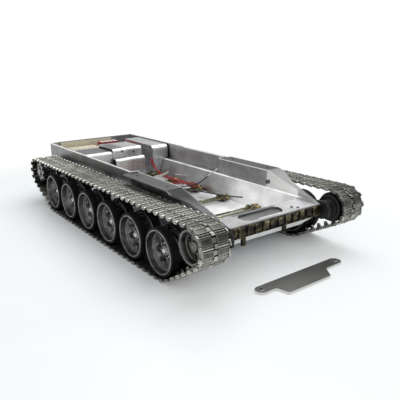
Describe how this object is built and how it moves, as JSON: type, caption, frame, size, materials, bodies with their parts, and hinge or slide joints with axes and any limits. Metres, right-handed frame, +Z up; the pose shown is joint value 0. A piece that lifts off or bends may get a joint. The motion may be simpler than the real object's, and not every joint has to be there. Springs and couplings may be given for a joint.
{
  "type": "tracked tank chassis",
  "caption": "Aluminium tracked vehicle chassis with sprung road wheels, metal link tracks, rear gearboxes and an open hull.",
  "frame": {"origin": "on the ground, under the middle of the whole chassis (within 2 mm along X) and midway along the right-hand row of road wheels", "axes": "+X forward towards the nose, +Y to the left, +Z up"},
  "size_m": [0.452, 0.2114, 0.078],
  "materials": {
    "hull_aluminium": "brushed",
    "front_plate_metal": "satin",
    "plate_steel": "brushed",
    "screw_steel": "satin",
    "cover_silver": "satin",
    "motor_steel": "satin",
    "gear_steel": "satin",
    "steel_dark": "satin",
    "brass": "satin",
    "wire_insulation": "matte",
    "track_metal": "satin",
    "sprocket_metal": "satin",
    "wheel_metal": "satin",
    "rubber_tyre": "matte"
  },
  "bodies": {
    "hull": {"hull_tub": "hull_aluminium", "front_plate": "front_plate_metal", "torsion_bars": "steel_dark", "torsion_anchors": "brass", "gearbox_covers": "cover_silver", "drive_motors": "motor_steel", "fixed_axles": "steel_dark", "wiring_loom": "wire_insulation", "track_right": "track_metal", "track_left": "track_metal"},
    "loose_plate": {"nose_cover_plate": "plate_steel", "plate_screws": "screw_steel"},
    "drive_right": {"sprocket_right": "sprocket_metal", "drive_shaft_right": "gear_steel"},
    "idler_wheel_right": {"idler_right": "wheel_metal"},
    "pinion_right": {"motor_pinion_right": "gear_steel"},
    "roller_right_1": {"return_roller_right_1": "sprocket_metal"},
    "roller_right_2": {"return_roller_right_2": "sprocket_metal"},
    "arm_right_1": {"swing_arm_right_1": "steel_dark"},
    "wheel_right_1": {"road_wheel_right_1": "wheel_metal", "tyre_right_1": "rubber_tyre"},
    "arm_right_2": {"swing_arm_right_2": "steel_dark"},
    "wheel_right_2": {"road_wheel_right_2": "wheel_metal", "tyre_right_2": "rubber_tyre"},
    "arm_right_3": {"swing_arm_right_3": "steel_dark"},
    "wheel_right_3": {"road_wheel_right_3": "wheel_metal", "tyre_right_3": "rubber_tyre"},
    "arm_right_4": {"swing_arm_right_4": "steel_dark"},
    "wheel_right_4": {"road_wheel_right_4": "wheel_metal", "tyre_right_4": "rubber_tyre"},
    "arm_right_5": {"swing_arm_right_5": "steel_dark"},
    "wheel_right_5": {"road_wheel_right_5": "wheel_metal", "tyre_right_5": "rubber_tyre"},
    "arm_right_6": {"swing_arm_right_6": "steel_dark"},
    "wheel_right_6": {"road_wheel_right_6": "wheel_metal", "tyre_right_6": "rubber_tyre"},
    "drive_left": {"sprocket_left": "sprocket_metal", "drive_shaft_left": "gear_steel"},
    "idler_wheel_left": {"idler_left": "wheel_metal"},
    "pinion_left": {"motor_pinion_left": "gear_steel"},
    "roller_left_1": {"return_roller_left_1": "sprocket_metal"},
    "roller_left_2": {"return_roller_left_2": "sprocket_metal"},
    "arm_left_1": {"swing_arm_left_1": "steel_dark"},
    "wheel_left_1": {"road_wheel_left_1": "wheel_metal", "tyre_left_1": "rubber_tyre"},
    "arm_left_2": {"swing_arm_left_2": "steel_dark"},
    "wheel_left_2": {"road_wheel_left_2": "wheel_metal", "tyre_left_2": "rubber_tyre"},
    "arm_left_3": {"swing_arm_left_3": "steel_dark"},
    "wheel_left_3": {"road_wheel_left_3": "wheel_metal", "tyre_left_3": "rubber_tyre"},
    "arm_left_4": {"swing_arm_left_4": "steel_dark"},
    "wheel_left_4": {"road_wheel_left_4": "wheel_metal", "tyre_left_4": "rubber_tyre"},
    "arm_left_5": {"swing_arm_left_5": "steel_dark"},
    "wheel_left_5": {"road_wheel_left_5": "wheel_metal", "tyre_left_5": "rubber_tyre"},
    "arm_left_6": {"swing_arm_left_6": "steel_dark"},
    "wheel_left_6": {"road_wheel_left_6": "wheel_metal", "tyre_left_6": "rubber_tyre"}
  },
  "joints": [
    {"name": "loose_plate_lift", "type": "slide", "parent": "hull", "child": "loose_plate", "axis": [0, 0, 1], "range_m": [0, 0.06]},
    {"name": "sprocket_right_spin", "type": "hinge", "parent": "hull", "child": "drive_right", "pos_m": [-0.1902, -0.0899, 0.045], "axis": [0, 1, 0], "continuous": true},
    {"name": "idler_right_spin", "type": "hinge", "parent": "hull", "child": "idler_wheel_right", "pos_m": [0.1834, -0.0899, 0.04775], "axis": [0, 1, 0], "continuous": true},
    {"name": "pinion_right_spin", "type": "hinge", "parent": "hull", "child": "pinion_right", "pos_m": [-0.17385, -0.03, 0.045], "axis": [0, 1, 0], "continuous": true},
    {"name": "roller_right_1_spin", "type": "hinge", "parent": "hull", "child": "roller_right_1", "pos_m": [0.0534, -0.081, 0.05709], "axis": [0, 1, 0], "continuous": true},
    {"name": "roller_right_2_spin", "type": "hinge", "parent": "hull", "child": "roller_right_2", "pos_m": [-0.0534, -0.081, 0.05631], "axis": [0, 1, 0], "continuous": true},
    {"name": "arm_right_1_swing", "type": "hinge", "parent": "hull", "child": "arm_right_1", "pos_m": [0.1624, -0.071, 0.0353], "axis": [0, 1, 0], "range_deg": [0, 10]},
    {"name": "wheel_right_1_spin", "type": "hinge", "parent": "arm_right_1", "child": "wheel_right_1", "pos_m": [0.1335, -0.0899, 0.0273], "axis": [0, 1, 0], "continuous": true},
    {"name": "arm_right_2_swing", "type": "hinge", "parent": "hull", "child": "arm_right_2", "pos_m": [0.109, -0.071, 0.0353], "axis": [0, 1, 0], "range_deg": [0, 10]},
    {"name": "wheel_right_2_spin", "type": "hinge", "parent": "arm_right_2", "child": "wheel_right_2", "pos_m": [0.0801, -0.0899, 0.0273], "axis": [0, 1, 0], "continuous": true},
    {"name": "arm_right_3_swing", "type": "hinge", "parent": "hull", "child": "arm_right_3", "pos_m": [0.0556, -0.071, 0.0353], "axis": [0, 1, 0], "range_deg": [0, 10]},
    {"name": "wheel_right_3_spin", "type": "hinge", "parent": "arm_right_3", "child": "wheel_right_3", "pos_m": [0.0267, -0.0899, 0.0273], "axis": [0, 1, 0], "continuous": true},
    {"name": "arm_right_4_swing", "type": "hinge", "parent": "hull", "child": "arm_right_4", "pos_m": [0.0022, -0.071, 0.0353], "axis": [0, 1, 0], "range_deg": [0, 10]},
    {"name": "wheel_right_4_spin", "type": "hinge", "parent": "arm_right_4", "child": "wheel_right_4", "pos_m": [-0.0267, -0.0899, 0.0273], "axis": [0, 1, 0], "continuous": true},
    {"name": "arm_right_5_swing", "type": "hinge", "parent": "hull", "child": "arm_right_5", "pos_m": [-0.0512, -0.071, 0.0353], "axis": [0, 1, 0], "range_deg": [0, 10]},
    {"name": "wheel_right_5_spin", "type": "hinge", "parent": "arm_right_5", "child": "wheel_right_5", "pos_m": [-0.0801, -0.0899, 0.0273], "axis": [0, 1, 0], "continuous": true},
    {"name": "arm_right_6_swing", "type": "hinge", "parent": "hull", "child": "arm_right_6", "pos_m": [-0.1046, -0.071, 0.0353], "axis": [0, 1, 0], "range_deg": [0, 10]},
    {"name": "wheel_right_6_spin", "type": "hinge", "parent": "arm_right_6", "child": "wheel_right_6", "pos_m": [-0.1335, -0.0899, 0.0273], "axis": [0, 1, 0], "continuous": true},
    {"name": "sprocket_left_spin", "type": "hinge", "parent": "hull", "child": "drive_left", "pos_m": [-0.1902, 0.0899, 0.045], "axis": [0, 1, 0], "continuous": true},
    {"name": "idler_left_spin", "type": "hinge", "parent": "hull", "child": "idler_wheel_left", "pos_m": [0.1834, 0.0899, 0.04775], "axis": [0, 1, 0], "continuous": true},
    {"name": "pinion_left_spin", "type": "hinge", "parent": "hull", "child": "pinion_left", "pos_m": [-0.17385, 0.03, 0.045], "axis": [0, 1, 0], "continuous": true},
    {"name": "roller_left_1_spin", "type": "hinge", "parent": "hull", "child": "roller_left_1", "pos_m": [0.0534, 0.081, 0.05709], "axis": [0, 1, 0], "continuous": true},
    {"name": "roller_left_2_spin", "type": "hinge", "parent": "hull", "child": "roller_left_2", "pos_m": [-0.0534, 0.081, 0.05631], "axis": [0, 1, 0], "continuous": true},
    {"name": "arm_left_1_swing", "type": "hinge", "parent": "hull", "child": "arm_left_1", "pos_m": [0.1554, 0.071, 0.0353], "axis": [0, 1, 0], "range_deg": [0, 10]},
    {"name": "wheel_left_1_spin", "type": "hinge", "parent": "arm_left_1", "child": "wheel_left_1", "pos_m": [0.1265, 0.0899, 0.0273], "axis": [0, 1, 0], "continuous": true},
    {"name": "arm_left_2_swing", "type": "hinge", "parent": "hull", "child": "arm_left_2", "pos_m": [0.102, 0.071, 0.0353], "axis": [0, 1, 0], "range_deg": [0, 10]},
    {"name": "wheel_left_2_spin", "type": "hinge", "parent": "arm_left_2", "child": "wheel_left_2", "pos_m": [0.0731, 0.0899, 0.0273], "axis": [0, 1, 0], "continuous": true},
    {"name": "arm_left_3_swing", "type": "hinge", "parent": "hull", "child": "arm_left_3", "pos_m": [0.0486, 0.071, 0.0353], "axis": [0, 1, 0], "range_deg": [0, 10]},
    {"name": "wheel_left_3_spin", "type": "hinge", "parent": "arm_left_3", "child": "wheel_left_3", "pos_m": [0.0197, 0.0899, 0.0273], "axis": [0, 1, 0], "continuous": true},
    {"name": "arm_left_4_swing", "type": "hinge", "parent": "hull", "child": "arm_left_4", "pos_m": [-0.0048, 0.071, 0.0353], "axis": [0, 1, 0], "range_deg": [0, 10]},
    {"name": "wheel_left_4_spin", "type": "hinge", "parent": "arm_left_4", "child": "wheel_left_4", "pos_m": [-0.0337, 0.0899, 0.0273], "axis": [0, 1, 0], "continuous": true},
    {"name": "arm_left_5_swing", "type": "hinge", "parent": "hull", "child": "arm_left_5", "pos_m": [-0.0582, 0.071, 0.0353], "axis": [0, 1, 0], "range_deg": [0, 10]},
    {"name": "wheel_left_5_spin", "type": "hinge", "parent": "arm_left_5", "child": "wheel_left_5", "pos_m": [-0.0871, 0.0899, 0.0273], "axis": [0, 1, 0], "continuous": true},
    {"name": "arm_left_6_swing", "type": "hinge", "parent": "hull", "child": "arm_left_6", "pos_m": [-0.1116, 0.071, 0.0353], "axis": [0, 1, 0], "range_deg": [0, 10]},
    {"name": "wheel_left_6_spin", "type": "hinge", "parent": "arm_left_6", "child": "wheel_left_6", "pos_m": [-0.1405, 0.0899, 0.0273], "axis": [0, 1, 0], "continuous": true}
  ],
  "couplings": [
    {"joint": "idler_right_spin", "follows": "sprocket_right_spin", "ratio": 1},
    {"joint": "pinion_right_spin", "follows": "sprocket_right_spin", "ratio": -2.2},
    {"joint": "roller_right_1_spin", "follows": "sprocket_right_spin", "ratio": 3.05},
    {"joint": "roller_right_2_spin", "follows": "sprocket_right_spin", "ratio": 3.05},
    {"joint": "wheel_right_1_spin", "follows": "sprocket_right_spin", "ratio": 0.7121},
    {"joint": "wheel_right_2_spin", "follows": "sprocket_right_spin", "ratio": 0.7121},
    {"joint": "wheel_right_3_spin", "follows": "sprocket_right_spin", "ratio": 0.7121},
    {"joint": "wheel_right_4_spin", "follows": "sprocket_right_spin", "ratio": 0.7121},
    {"joint": "wheel_right_5_spin", "follows": "sprocket_right_spin", "ratio": 0.7121},
    {"joint": "wheel_right_6_spin", "follows": "sprocket_right_spin", "ratio": 0.7121},
    {"joint": "idler_left_spin", "follows": "sprocket_left_spin", "ratio": 1},
    {"joint": "pinion_left_spin", "follows": "sprocket_left_spin", "ratio": -2.2},
    {"joint": "roller_left_1_spin", "follows": "sprocket_left_spin", "ratio": 3.05},
    {"joint": "roller_left_2_spin", "follows": "sprocket_left_spin", "ratio": 3.05},
    {"joint": "wheel_left_1_spin", "follows": "sprocket_left_spin", "ratio": 0.7121},
    {"joint": "wheel_left_2_spin", "follows": "sprocket_left_spin", "ratio": 0.7121},
    {"joint": "wheel_left_3_spin", "follows": "sprocket_left_spin", "ratio": 0.7121},
    {"joint": "wheel_left_4_spin", "follows": "sprocket_left_spin", "ratio": 0.7121},
    {"joint": "wheel_left_5_spin", "follows": "sprocket_left_spin", "ratio": 0.7121},
    {"joint": "wheel_left_6_spin", "follows": "sprocket_left_spin", "ratio": 0.7121}
  ]
}
